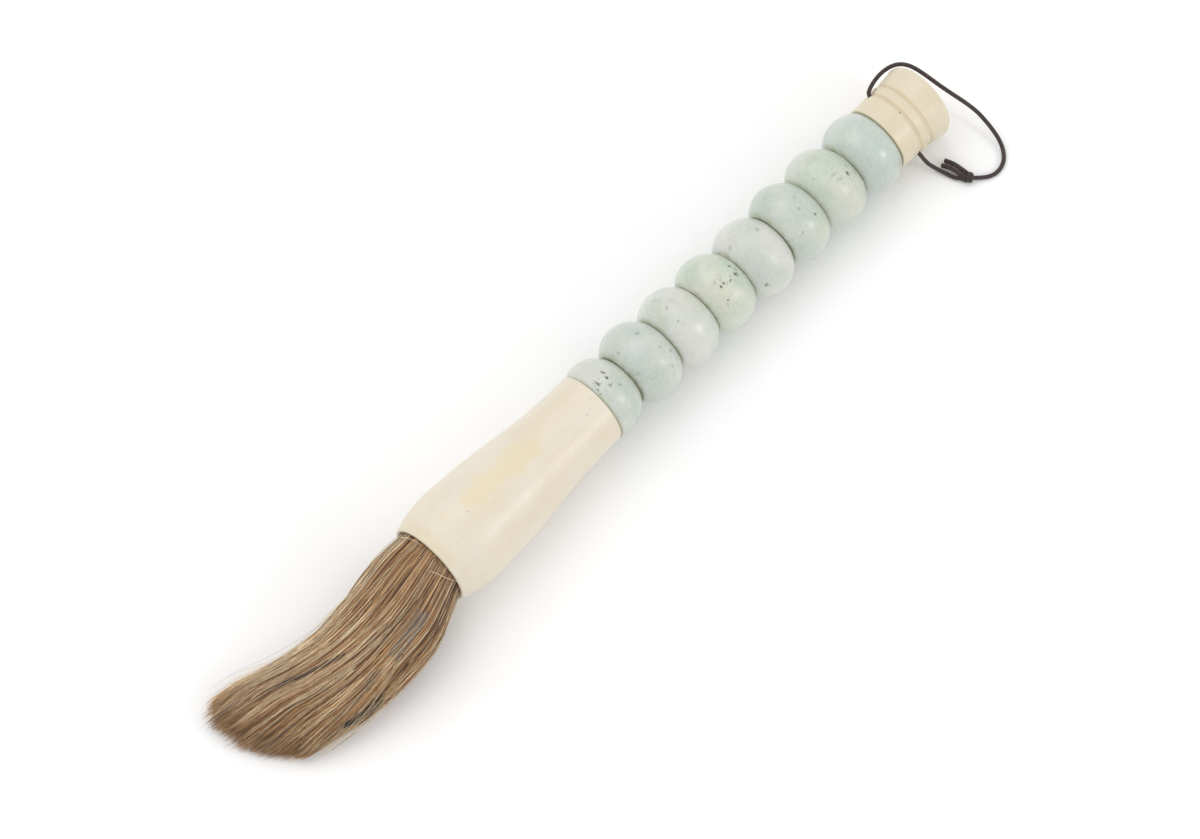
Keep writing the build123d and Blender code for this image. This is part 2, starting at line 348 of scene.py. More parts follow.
hair_tones = {
    "hair_black": rgb(56, 50, 46),
    "hair_dark_brown": rgb(100, 68, 42),
    "hair_brown": rgb(150, 109, 71),
    "hair_tan": rgb(192, 149, 104),
    "hair_light_tan": rgb(214, 176, 128),
    "hair_golden": rgb(220, 172, 110),
    "hair_blond": rgb(247, 227, 190),
    "hair_grey": rgb(146, 138, 128),
}


def hair_materials():
    """One plain tone for each share of the hair; every strand changes tone along its length."""
    looks = {"Roughness": 0.42, "Sheen_Weight": 0.1}
    return [Painter(name, **looks).finish(colour) for name, colour in hair_tones.items()]


# --- mesh helpers ---
def mesh_object(name, points, faces, materials, smooth=True):
    """A new piece from points in millimetres on the table."""
    mesh = bpy.data.meshes.new(name)
    mesh.from_pydata((np.asarray(points) * MM).tolist(), [], faces)
    for material in materials:
        mesh.materials.append(material)
    if smooth:
        mesh.polygons.foreach_set("use_smooth", [True] * len(mesh.polygons))
    mesh.update()
    piece = bpy.data.objects.new(name, mesh)
    bpy.context.scene.collection.objects.link(piece)
    return piece


def ramp(value, start, length, most=1):
    """A share that is 0 up to the start and 1 a length beyond it, and goes on evenly up to most."""
    return np.clip((value - start) / length, 0, most)


def lay(points):
    """Points drawn about the brush's own axis, put where the brush lies on the table. Outside, the
    beads sit a little off the axis and askew, and the cap leans to the right."""
    points = np.array(points, float)
    x, y, z = points[..., 0], points[..., 1], points[..., 2]
    outer = ramp(np.hypot(y, z), bore_radius, 5)
    askew = ramp(x, ferrule_length, 12) * ramp(x, cap_x, -12)
    leaning = ramp(x, cap_x, 12)
    slope = math.tan(math.radians(cap_lean)) * leaning - math.tan(math.radians(bead_skew)) * askew
    aside = smooth_curve(off_axis, x)
    points[..., 0] += outer * (y * slope)
    points[..., 1] += outer * aside
    turn = np.array(brush_place.to_3x3())
    return points @ turn.T + np.array(brush_place.translation)


def grid_faces(rings, around, closed_along=False):
    """Quads between rings of points, each ring closed round the axis."""
    faces = []
    for ring in range(rings if closed_along else rings - 1):
        here = ring * around
        after = (ring + 1) % rings * around
        for k in range(around):
            step = (k + 1) % around
            faces.append((here + k, here + step, after + step, after + k))
    return faces


def smooth_curve(table, where):
    """A curve through a table whose rows are a place and its values, read at other places."""
    table = np.asarray(table, float)
    knots, values = table[:, 0], table[:, 1:]
    slopes = np.gradient(values, knots, axis=0)
    where = np.clip(where, knots[0], knots[-1])
    left = np.clip(np.searchsorted(knots, where, side="right") - 1, 0, len(knots) - 2)
    span = (knots[left + 1] - knots[left])[..., None]
    t = (where - knots[left])[..., None] / span
    near_end = values[left] * (2 * t**3 - 3 * t**2 + 1) + slopes[left] * span * (t**3 - 2 * t**2 + t)
    curve = near_end + values[left + 1] * (3 * t**2 - 2 * t**3) + slopes[left + 1] * span * (t**3 - t**2)
    return curve[..., 0] if values.shape[1] == 1 else curve


def on_curve(table, spacing, short=0):
    """Evenly spaced (x, radius) points on a curve, up to a little short of its end."""
    x = np.arange(table[0][0], table[-1][0] - short, spacing)
    return list(zip(x, smooth_curve(table, x)))


def arc(centre, radius, first, last, steps):
    """Points on an arc, angles in degrees from the axis direction, as (x, radius) pairs."""
    turns = np.radians(np.linspace(first, last, steps))
    return [(centre[0] + radius * math.cos(a), centre[1] + radius * math.sin(a)) for a in turns]


def run(start, end, spacing):
    """Points along a straight stretch, without its end."""
    steps = max(1, round(math.dist(start, end) / spacing))
    start, end = np.array(start), np.array(end)
    return [tuple(start + (end - start) * step / steps) for step in range(steps)]


def waviness(x, turn, seed, size, lengths):
    """Smooth seeded unevenness of a turned surface, in millimetres, that closes round the axis."""
    random = np.random.default_rng(seed)
    total = np.zeros(np.broadcast(x, turn).shape)
    for lobes in range(1, 7):
        for length in lengths:
            phase, drift = random.uniform(0, 2 * math.pi, 2)
            share = random.normal() / lobes
            total += share * np.cos(lobes * turn + phase) * np.cos(2 * math.pi * x / length + drift)
    return size * total / 2.5


def wavy(seed, size, lengths, start=0):
    """A turned piece's unevenness, which fades towards its bore."""
    def unevenness(x, turn, radius):
        return ramp(radius, bore_radius + 3, 5) * waviness(x - start, turn, seed, size, lengths)

    return unevenness


def turned_piece(name, outline, around, material, unevenness):
    """A closed outline of (x, radius) points, turned about the brush's axis. An outline that starts
    and ends on the axis is closed there by two poles."""
    outline = np.array(outline)
    solid = outline[0, 1] == 0
    rows = outline[1:-1] if solid else outline
    turn = np.linspace(0, 2 * math.pi, around, endpoint=False)[None, :]
    x = np.repeat(rows[:, :1], around, axis=1)
    radius = np.repeat(rows[:, 1:], around, axis=1)
    radius = radius + unevenness(x, turn, radius)
    points = np.stack([x, radius * np.cos(turn), radius * np.sin(turn)], axis=-1).reshape(-1, 3)
    faces = grid_faces(len(rows), around, not solid)
    if solid:
        points = np.concatenate([points, [(outline[0, 0], 0, 0), (outline[-1, 0], 0, 0)]])
        faces += pole_faces(len(rows), around)
    return mesh_object(name, lay(points), faces, [material])


def pole_faces(rings, around):
    """Triangles that close the first and last ring on the two points that follow the rings."""
    last = (rings - 1) * around
    first_pole = rings * around
    faces = []
    for k in range(around):
        step = (k + 1) % around
        faces.append((first_pole, step, k))
        faces.append((first_pole + 1, last + k, last + step))
    return faces


# --- cord ---
# Its route is the CAD source's, but for six points that lie closer to the cap and two more that keep
# the run in the hole straight.
cord_exit = (150.87, -12.3, 8.95)
cord_route = [
    (158.1, -27.4, 1.5), (156.3, -26.7, 1.3), (155.2, -24.6, 1.1), (154.5, -21.7, 1.2),
    (153.2, -18.5, 2.2), (151.6, -15.5, 4.8), cord_exit, (150.87, -9.3, 10.35),
    (150.87, 10.2, 19.44), (150.87, 12.2, 20.37), (152.9, 13.3, 20.75), (156.4, 14.2, 20.8),
    (160, 14.5, 20.7), (163.6, 14.1, 20.5), (166.9, 12.6, 20.2), (169.2, 9.7, 19.6),
    (170.6, 5.2, 18.4), (171.9, -0.8, 16.2), (173.6, -5.9, 13.4), (175.4, -10.4, 10.6),
    (176.9, -15.2, 7.7), (177.2, -20, 5.1), (176.7, -25.4, 2.9), (175.2, -29.6, 1.5),
    (172.6, -32.7, 0.8), (169.2, -34.2, 0.75), (165.6, -34.1, 0.75), (162.4, -32.3, 0.95),
    (159.7, -29.9, 1.5),
]
tail_routes = {
    "cord_tail_a": [(159.2, -26.9, 2.4), (158.9, -23.6, 2.5), (158.6, -20.8, 2), (157.7, -18.2, 1.4)],
    "cord_tail_b": [(157.5, -27.1, 2.2), (157.1, -23.8, 2.5), (156.7, -20.9, 2), (155.6, -18.7, 1.4)],
}
cord_spacing = 0.14              # between the rings of a cord's mesh
knot_centre = (158.4, -28.2, 1.74)
knot_turn = -62
knot_wraps = 2.6
knot_length = 3.4
knot_reach_across = 1.5
knot_reach_up = 1.04
knot_core_ends = [-1.9, -0.6, 0.6, 1.9]
knot_core_offset = 0.55
knot_wrap_diameter = 1.38        # a little under the cord's own, as the knot is pulled tight
knot_core_diameter = 1.3


def spline_points(route):
    """The smooth line that a route's points steer, as points along a NURBS curve, in millimetres."""
    curve = bpy.data.curves.new("route", "CURVE")
    curve.dimensions = "3D"
    curve.resolution_u = 24
    spline = curve.splines.new("NURBS")
    spline.points.add(len(route) - 1)
    for point, place in zip(spline.points, route):
        point.co = (*(MM * c for c in place), 1)
    spline.order_u = 3
    spline.use_endpoint_u = True
    holder = bpy.data.objects.new("route", curve)
    mesh = bpy.data.meshes.new_from_object(holder)
    points = np.array([v.co for v in mesh.vertices]) / MM
    bpy.data.objects.remove(holder)
    bpy.data.curves.remove(curve)
    bpy.data.meshes.remove(mesh)
    return points


def evenly(points, spacing):
    """The same line with points at an even spacing, and how far along each one is."""
    steps = np.linalg.norm(np.diff(points, axis=0), axis=1)
    along = np.concatenate([[0], np.cumsum(steps)])
    count = max(2, round(along[-1] / spacing) + 1)
    where = np.linspace(0, along[-1], count)
    return np.stack([np.interp(where, along, points[:, k]) for k in range(3)], axis=1), where


def frames_along(points):
    """Two directions square to the line at each of its points, turning with it without twist."""
    tangents = np.gradient(points, axis=0)
    tangents /= np.linalg.norm(tangents, axis=1, keepdims=True)
    side = np.cross(tangents[0], (0.31, 0.17, 0.94))
    sides = []
    for tangent in tangents:
        side = side - tangent * (side @ tangent)
        side /= np.linalg.norm(side)
        sides.append(side)
    sides = np.array(sides)
    return sides, np.cross(tangents, sides)


def braid(turn, along, diameter):
    """How far a braided cord's strands stand up, from 0 to 1, at a place round and along it."""
    strands = 4
    pitch = 4.2 * diameter
    right = np.cos(strands * turn + 2 * math.pi * strands * along / pitch)
    left = np.cos(strands * turn - 2 * math.pi * strands * along / pitch)
    return 0.5 + 0.5 * np.maximum(right, left) * np.abs(right - left) / 2


def tube(points, along, diameter, around=20, shape=None):
    """A closed tube about a line, in millimetres, with the braid's relief on it: points and faces."""
    first, second = frames_along(points)
    turn = np.linspace(0, 2 * math.pi, around, endpoint=False)[None, :]
    radius = diameter / 2 * (1 + braid_relief * (braid(turn, along[:, None], diameter) - 0.4))
    if shape is not None:
        radius = radius * shape[:, None]
    rings = points[:, None, :] + radius[..., None] * (
        np.cos(turn)[..., None] * first[:, None, :] + np.sin(turn)[..., None] * second[:, None, :]
    )
    vertices = np.concatenate([rings.reshape(-1, 3), points[:1], points[-1:]])
    return vertices, grid_faces(len(points), around) + pole_faces(len(points), around)


def make_cord(material):
    """The braided cord, from inside the knot through the cap and back into the knot."""
    line = spline_points(cord_route)
    points, along = evenly(line, cord_spacing)
    vertices, faces = tube(points, along, cord_diameter)
    return mesh_object("cord", vertices, faces, [material]), line


def blunt_end(along, length):
    """A cut cord's radius share: full, a little swollen just before the cut, then rounded off."""
    left = ramp(along, along[-1], -length)
    swelling = 1 + 0.1 * np.exp(-(((left - 0.9) / 0.5) ** 2))
    return np.sqrt(np.clip(1 - (1 - left) ** 6, 0.04, 1)) * swelling


def make_tails(material):
    """The two short cut ends that leave the knot side by side."""
    made = []
    for name, route in tail_routes.items():
        points, along = evenly(spline_points(route), cord_spacing)
        vertices, faces = tube(points, along, cord_diameter, shape=blunt_end(along, 0.5))
        made.append(mesh_object(name + "_cut", vertices, faces, [material]))
    return made


def make_knot(material):
    """An overhand knot pulled tight: the doubled cord wrapped round itself."""
    centre = np.array(knot_centre)
    turn = math.radians(knot_turn)
    axis = np.array((math.cos(turn), math.sin(turn), 0))
    across = np.array((-math.sin(turn), math.cos(turn), 0))
    up = np.array((0, 0, 1))
    share = np.linspace(0, 1, 260)
    angle = 2 * math.pi * knot_wraps * share + 0.7
    reach = 0.55 + 0.42 * (1 - (2 * share - 1) ** 2) ** 0.5
    line = (
        centre
        + axis * ((share - 0.5) * knot_length + 0.6 * np.sin(angle))[:, None]
        + across * (reach * knot_reach_across * np.cos(angle))[:, None]
        + up * (reach * knot_reach_up * np.sin(angle))[:, None]
    )
    vertices, faces = tube(*evenly(line, 0.12), knot_wrap_diameter, around=18)
    core = np.array([centre + place * axis for place in knot_core_ends])
    for offset in (-knot_core_offset, knot_core_offset):
        strand = evenly(spline_points(core + across * offset), cord_spacing)
        more, more_faces = tube(*strand, knot_core_diameter, around=18)
        faces += [tuple(i + len(vertices) for i in face) for face in more_faces]
        vertices = np.concatenate([vertices, more])
    return mesh_object("knot", vertices, faces, [material])


# --- turned pieces ---
ferrule_swelling = [
    (lip_radius, mouth_radius + 2 * lip_radius), (4.8, 17.05), (10, 17.95), (16.3, 18.3),
    (23, 17.9), (33.6, 17.3), (45, 16.1), (55, 14.85), (65, 14.15),
    (ferrule_length, ferrule_top_radius),
]
cavity_flare_x = 6
top_edge = 0.25
lathe_rings = [61, 63.2, 65.1, 67.6, 70.4, 73.2, 76]


def ferrule_outline():
    """The ferrule's closed outline: swelling outside, lip, and the cavity and bore inside."""
    corners = [(ferrule_length, bore_radius), (cavity_depth, bore_radius), (cavity_depth, cavity_radius),
               (cavity_flare_x, cavity_radius), (lip_radius, mouth_radius)]
    outside = on_curve(ferrule_swelling, 0.3, short=0.3)
    edge = arc((ferrule_length - top_edge, ferrule_top_radius - top_edge), top_edge, 90, 0, 5)
    inside = run((ferrule_length, ferrule_top_radius - 2 * top_edge), corners[0], 2)
    for start, end, spacing in zip(corners, corners[1:], (6, 2, 3, 1)):
        inside += run(start, end, spacing)
    lip = arc((lip_radius, mouth_radius + lip_radius), lip_radius, 270, 90, 15)
    return outside + edge + inside + lip[:-1]


def make_ferrule(material):
    def unevenness(x, turn, radius):
        outer = ramp(radius, cavity_radius + 0.2, 0.6)
        cut = sum(0.035 * np.exp(-(((x - at) / 0.28) ** 2)) for at in lathe_rings)
        chatter = 0.006 * np.sin(2 * math.pi * x / 1.3) * ramp(x, 50, 15)
        return outer * (waviness(x, turn, 11, 0.07, (46, 21)) - cut + chatter)

    return turned_piece("ferrule_bone", ferrule_outline(), 256, material, unevenness)


def bead_outline(radius, width, widest):
    """A bead's closed outline about its widest plane: round side, broken rims, faces and bore."""
    def height(x, drop=0):
        return radius * math.sqrt(1 - (x / bead_half_length) ** 2) - drop * bead_edge

    left, right = -widest, width - widest
    inset = 0.45 * bead_edge
    turns = np.linspace(0, 1, 72)
    side_x = left + inset + (right - left - 2 * inset) * (0.5 - 0.5 * np.cos(math.pi * turns))
    side = [(x, height(x)) for x in side_x]
    rim = [(0.18, 0.1), (0.03, 0.45)]
    right_rim = [(right - inward * bead_edge, height(right, drop)) for inward, drop in rim]
    right_face = run((right, height(right, 1)), (right, bore_radius), 1.2)
    bore = run((right, bore_radius), (left, bore_radius), 3)
    left_face = run((left, bore_radius), (left, height(left, 1)), 1.2) + [(left, height(left, 1))]
    left_rim = [(left + inward * bead_edge, height(left, drop)) for inward, drop in reversed(rim)]
    return side + right_rim + right_face + bore + left_face + left_rim


def make_bead(number, radius, width, face, widest, material):
    outline = [(x + face + widest, r) for x, r in bead_outline(radius, width, widest)]
    unevenness = wavy(40 + number, 0.085, (40, 17))
    return turned_piece(f"bead_{number}_jade", outline, 192, material, unevenness)


groove_shape = [
    (7, 13.1), (7.5, 13.06), (7.9, 12.84), (groove_x, 12.68), (8.7, 12.84), (9.1, 13.15),
    (9.6, 13.32), (9.95, 13.34),
]
second_groove_shape = [
    (11.8, 13.36), (12.15, 13.32), (12.5, 13.1), (second_groove_x, 12.96), (13.4, 13.2),
    (13.9, 13.46), (14.4, 13.56),
]
flare_shape = [(14.4, 13.56), (16.5, 13.86), (19, 14.14), (cap_length - cap_edge, cap_end_radius)]
hole_mouth = [(10.4, hole_radius), (11.2, 1.32), (11.9, 1.75), (12.5, 2.35), (13.1, 3.1), (20, 3.6)]


def cap_outline():
    """The cap's outline from the bottom of its bore to the middle of its end: two grooves with a
    ring between them, the flare and the rounded end."""
    bore = [(cap_bore_depth, 0), (cap_bore_depth, bore_radius - 0.05),
            (cap_bore_depth - 0.05, bore_radius), (0, bore_radius)]
    face = run((0, bore_radius + 0.5), (0, cap_base_radius - 0.25), 1.5)
    rim = [(0, cap_base_radius - 0.25), (0.08, cap_base_radius - 0.06)]
    base = run((0.3, cap_base_radius), groove_shape[0], 0.3)
    ring = run(groove_shape[-1], second_groove_shape[0], 0.2)
    grooves = on_curve(groove_shape, 0.08) + ring + on_curve(second_groove_shape, 0.08, short=0.1)
    edge = arc((cap_length - cap_edge, cap_end_radius - cap_edge), cap_edge, 90, 0, 16)
    end = run((cap_length, cap_end_radius - cap_edge - 0.4), (cap_length, 0), 0.5)
    return bore + face + rim + base + grooves + on_curve(flare_shape, 0.3) + edge + end + [(cap_length, 0)]


def hole_cutter():
    """The drilled hole with its opened mouths, as a closed solid along the cord's way."""
    tilt = math.radians(hole_tilt)
    way = np.array((0, math.cos(tilt), math.sin(tilt)))
    beside = np.array((1, 0, 0))
    above = np.cross(way, beside)
    profile = [(-along, radius) for along, radius in reversed(hole_mouth)] + hole_mouth
    around = 48
    turn = np.linspace(0, 2 * math.pi, around, endpoint=False)
    rings = [
        way * along + radius * (np.cos(turn)[:, None] * beside + np.sin(turn)[:, None] * above)
        for along, radius in profile
    ]
    points = np.concatenate(rings) + np.array((cap_x + groove_x, 0, 0))
    faces = grid_faces(len(profile), around)
    faces.append(tuple(reversed(range(around))))
    faces.append(tuple(range((len(profile) - 1) * around, len(profile) * around)))
    return mesh_object("hole_cutter", lay(points), faces, [])


def apply_modifiers(piece):
    """Replaces a piece's mesh by what its modifiers make of it."""
    evaluated = piece.evaluated_get(bpy.context.evaluated_depsgraph_get())
    shaped = bpy.data.meshes.new_from_object(evaluated)
    piece.modifiers.clear()
    piece.data = shaped


def make_cap(material):
    outline = [(x + cap_x, r) for x, r in cap_outline()]
    cap = turned_piece("cap_bone", outline, 224, material, wavy(23, 0.045, (31, 13), cap_x))
    cutter = hole_cutter()
    drill = cap.modifiers.new("hole", "BOOLEAN")
    drill.operation = "DIFFERENCE"
    drill.solver = "EXACT"
    drill.object = cutter
    apply_modifiers(cap)
    bpy.data.objects.remove(cutter)
    return cap


# --- hair ---
# Distance out of the mouth, sideways, height, half width, half thickness and turn in degrees of
# each cross-section, close to the CAD source's, with one more in the ferrule and one past the tip.
hair_sections = [
    (-12, 0, 18.5, 13.1, 13.1, 0),
    (1, -0.3, 18.4, 13.8, 13.6, 0),
    (8, -1.5, 17.4, 15.8, 13.6, 0),
    (16, -3.2, 15.9, 17.4, 13.3, 0),
    (28, -4.8, 13.6, 17.5, 12.2, 0),
    (42, -4.7, 10.9, 17.1, 10.5, 3),
    (56, -2.2, 8.6, 17.9, 8.4, 8),
    (68, 1.5, 6.7, 19.2, 6.5, 13),
    (78, 3.7, 4.7, 19.4, 4.4, 17),
    (84, 5.3, 3.1, 19.1, 2.7, 18),
    (92, 8.2, 2, 18, 1.7, 18),
]
# How far out the hair ends, from the tuft's right side, -1, to its left, 1.
tip_shape = [
    (-1, 78.5), (-0.9, 79.2), (-0.6, 82.4), (-0.3, 84.6), (-0.1, 85), (0.1, 83.6), (0.4, 82.4),
    (0.6, 81.6), (0.8, 79.8), (1, 75),
]
tip_out = 84
hair_seed = 2024
lock_count = 60
fine_lock_count = 420
lowest_hair = 0.12               # above the table

# The layers of the coat, by the share of the tuft's radius that they fill, and their strands.
coat_layers = [(0.84, 0.94), (0.88, 0.97), (0.9, 0.99), (0.92, 1), (0.93, 1), (0.94, 1.01)]
coat_count = 1350
strand_radius = 0.115
# The ends of shorter hairs that fill the tip, and the single hairs that stand off.
tip_depth = (0.1, 0.95)
tip_count = 2400
stray_depth = (0.97, 1.02)
stray_count = 260
stray_radius = 0.065
wisp_radius = 0.11

# How the strands fall: a slow turn round the tuft on their way out, in radians for each
# millimetre, and a parting beyond which the strands on the right fall the other way.
fall_turn = -0.0055
parting_out = 30
parting_turn = 1.7
parting_fall = 0.026

# Tones along the coat, from dark to light, and where each gives way to the next one.
coat_order = ["hair_dark_brown", "hair_brown", "hair_tan", "hair_light_tan", "hair_golden", "hair_blond"]
tone_steps = [-1.3, -0.35, 0.62, 1.35, 1.75]
# Paler sides and a brown band: turn, half width, where and over what length they begin, or end if
# the length is negative, and how they change the tone.
coat_bands = [(0.3, 0.45, 36, 20, 0.7), (2.95, 0.4, 60, -15, 0.7), (1, 0.35, 44, 14, -0.6)]
# Single streaks: turn and its change for each millimetre, half width, first and last distance out,
# the share of the hairs that take them, and their tone.
coat_streaks = [
    (1.47, -0.0155, 0.05, 41, 63, 0.55, "hair_black"),
    (2.8, 0, 0.16, 42, 60, 0.75, "hair_black"),
    (2.18, 0, 0.14, 13, 30, 0.45, "hair_grey"),
]

# Loose hairs on the left side: where they leave and end, how far aside, how many, which tone.
wisps = [
    (21, 38, 2.4, 12, "hair_blond"),
    (43, 57, 1.1, 7, "hair_black"),
    (52, 68, 3, 12, "hair_blond"),
    (62, 77, 2.2, 16, "hair_light_tan"),
]
# Hairs across the mouth: distance along the axis, radius and turn in degrees at each knot.
mouth_hairs = [
    [(-2.2, 14.35, 40), (-1.2, 14.5, 62), (-0.9, 14.6, 80)],
    [(-5.4, 15.4, 112), (-2.4, 15.2, 135), (0.2, 14.65, 152), (1.6, 14.5, 165)],
]
tone_numbers = {name: number for number, name in enumerate(hair_tones)}


def hair_place(out, turn, share, aside=0, lift=0):
    """Points in the tuft: a distance out of the mouth, a turn round it and a share of its radius."""
    section = smooth_curve(hair_sections, out)
    angle = np.radians(section[..., 4])
    across = section[..., 2] * share * np.cos(turn) + aside
    height = section[..., 1] + section[..., 3] * share * np.sin(turn) + lift
    x = mouth_x - out - np.sin(angle) * across
    y = section[..., 0] + np.cos(angle) * across
    return np.stack([x, y, height], axis=-1)


def make_undermass(material):
    """The closed body of hair that the loose strands lie on, grooved along its length."""
    random = np.random.default_rng(hair_seed)
    out = np.append(np.linspace(-10, 72, 120), 73.5)[:, None]
    turn = np.linspace(0, 2 * math.pi, 180, endpoint=False)[None, :]
    taper = np.clip(1.02 - (np.maximum(out - 56, 0) / 50) ** 1.5, 0.1, 1)
    grooves = 0
    for waves in (9, 14, 23, 37):
        phase, drift = random.uniform(0, 2 * math.pi, 2)
        grooves = grooves + np.cos(waves * turn + phase + 0.5 * np.sin(out / 18 + drift)) / waves**0.5
    points = hair_place(out, turn, 0.88 * taper * (1 + 0.035 * grooves))
    ends = hair_place(np.array([out[0, 0], out[-1, 0] + 1]), 0, 0)
    faces = grid_faces(len(out), turn.size) + pole_faces(len(out), turn.size)
    faces = [tuple(reversed(face)) for face in faces]
    piece = mesh_object("hair_undermass", np.concatenate([points.reshape(-1, 3), ends]), faces, [material])
    seam_free = np.stack(np.broadcast_arrays(out / 84, np.cos(turn), np.sin(turn)), axis=-1)
    flow = piece.data.attributes.new("flow", "FLOAT_VECTOR", "POINT")
    flow.data.foreach_set("vector", np.concatenate([seam_free.ravel(), np.zeros(6)]))
    return piece


class Locks:
    """Each strand's lock, by its turn round the tuft: the lock's turn, waves, drift and tone, as
    columns. Every piece of strands uses the same locks, so that they lie together."""

    def __init__(self, count, seed, turn):
        random = np.random.default_rng(seed)
        turns = (np.arange(count) + random.uniform(-0.4, 0.4, count)) * 2 * math.pi / count
        phases = random.uniform(0, 2 * math.pi, (3, count))
        drifts = random.normal(0, 1, count)
        tones = random.normal(0, 1, count)
        nearest = np.abs(turn_gap(turn, turns)).argmin(axis=1)[:, None]
        self.turns = turns[nearest]
        self.side_phase, self.share_phase, self.reach_phase = phases[:, nearest]
        self.drifts = drifts[nearest]
        self.tones = tones[nearest]


def turn_gap(first, second):
    return (first - second + math.pi) % (2 * math.pi) - math.pi


def waves_along(out, phases, length, start):
    """Gentle waves that grow from nothing at the mouth."""
    return ramp(out, start, 40, 1.3) * np.sin(2 * math.pi * out / length + phases)


def falling(turn, out):
    """How far a strand that starts at a turn has moved round the tuft at a distance out."""
    at_parting = turn + fall_turn * parting_out
    low = ramp(at_parting, parting_turn, 0.7) * ramp(at_parting, 3.4, -0.6)
    beyond = np.clip(out - parting_out, 0, 60)
    eased = beyond**2 / (beyond + 14)
    return fall_turn * np.clip(out - 4, 0, 90) + parting_fall * low * eased


def fallen_turns(random, out, turn, lock, fine):
    """Each strand's turn round the tuft along its way: it joins its locks, falls, waves and leans."""
    pull = ramp(out, 6, 60) * np.clip((96 - out) / 20, 0.3, 1)
    turns = turn + turn_gap(fine.turns, turn) * 0.7 * ramp(out, -4, 40)
    turns = turns + turn_gap(lock.turns, turn) * 0.3 * pull
    turns = turns + falling(turn, out)
    turns = turns + 0.018 * waves_along(out, lock.side_phase, 70, 4)
    turns = turns + 0.008 * waves_along(out, fine.side_phase, 46, 2)
    turns = turns + 0.01 * waves_along(out, random.uniform(0, 2 * math.pi, turn.shape), 30, 0)
    leaning = 0.04 * lock.drifts + 0.05 * fine.drifts + random.normal(0, 0.1, turn.shape)
    return turns + leaning * np.clip(out / 70, -0.1, 1.2)


def spread_shares(random, out, share, lock, fine):
    """Each strand's share of the tuft's radius along its way: locks and fine locks stand up."""
    spread = share + 0.026 * waves_along(out, lock.share_phase, 50, 8)
    spread = spread + 0.025 * waves_along(out, fine.share_phase, 42, -6)
    spread = spread + 0.02 * fine.drifts * ramp(out, -6, 12)
    return np.minimum(spread, 1 + 0.02 * random.uniform(0, 1, share.shape))


def flown(random, out, turn, fly, rise):
    """How far strands fly aside and rise, which grows on their way out."""
    stray = random.normal(0, 1, turn.shape) * fly
    bend_length = random.uniform(14, 30, turn.shape)
    bend = np.sin(out / bend_length + random.uniform(0, 2 * math.pi, turn.shape))
    aside = (stray * ramp(out, 0, 60, 1.4) ** 2 + 0.5 * fly * bend) * np.sign(np.cos(turn))
    lift = np.abs(random.normal(0, 1, turn.shape)) * rise * ramp(out, 0, 50, 1.3) ** 2
    return aside, lift


def make_strands(name, materials, count, depth, seed, tones, fly=0, rise=0, segments=24,
                 thick=strand_radius, first_out=-7, ragged=3):
    """A piece of many fine tapered strands that lie in wavy locks, each with its own run of tones."""
    random = np.random.default_rng(seed)
    column = (count, 1)
    turn = random.uniform(0, 2 * math.pi, column)
    share = random.uniform(*depth, column)
    lock = Locks(lock_count, hair_seed + 1, turn)
    fine = Locks(fine_lock_count, hair_seed + 2, turn)

    side = np.cos(turn + falling(turn, tip_out)) * share
    reach = smooth_curve(tip_shape, side) + 1.3 * np.sin(lock.reach_phase) + random.normal(0, 1.1, column)
    reach = reach + 1.1 * np.sin(fine.reach_phase) - np.abs(random.normal(0, ragged, column))
    step = np.linspace(0, 1, segments)[None, :]
    out = first_out + (reach - first_out) * step

    turns = fallen_turns(random, out, turn, lock, fine)
    spread = spread_shares(random, out, share, lock, fine)
    line = hair_place(out, turns, spread, *flown(random, out, turn, fly, rise))

    tone = 0.28 * lock.tones + 0.58 * fine.tones + random.normal(-0.1, 1.1, column)
    drift = 0.3 * np.sin(out / 12 + random.uniform(0, 2 * math.pi, column))
    numbers = tones(tone + drift, out, turns, random.uniform(0, 1, column))
    radius = thick * random.uniform(0.65, 1.25, column) * (1 - 0.5 * step**3)
    radius[:, -1] *= 0.4
    return strand_mesh(name, line, radius, numbers, materials)


def make_wisps(materials):
    """Short loose hairs that leave the tuft's left side, and two that lie across the mouth."""
    random = np.random.default_rng(hair_seed + 9)
    lines = []
    numbers = []
    step = np.linspace(0, 1, 14)
    for first, last, reach, count, tone in wisps:
        for _ in range(count):
            start = first + random.normal(0, 1.5)
            end = last + random.normal(0, 2.5)
            leaving = reach * random.uniform(0.2, 1) * step ** random.uniform(1.2, 2.2)
            curl = random.normal(0, 0.25) * np.sin(math.pi * step)
            turn = 0.17 + random.normal(0, 0.2)
            lines.append(hair_place(start + (end - start) * step, turn, 1, leaving + curl))
            numbers.append(tone_numbers[tone])
    for knots in mouth_hairs:
        table = [(place, *knot) for place, knot in enumerate(knots)]
        x, radius, degrees = smooth_curve(table, step * (len(knots) - 1)).T
        turn = np.radians(degrees)
        lines.append(lay(np.stack([x, radius * np.cos(turn), radius * np.sin(turn)], axis=-1)))
        numbers.append(tone_numbers["hair_blond"])
    line = np.array(lines)
    numbers = np.broadcast_to(np.array(numbers)[:, None], line.shape[:2])
    radius = np.full(line.shape[:2], wisp_radius) * (1 - 0.6 * step**2)
    return strand_mesh("hair_wisps", line, radius, numbers, materials)


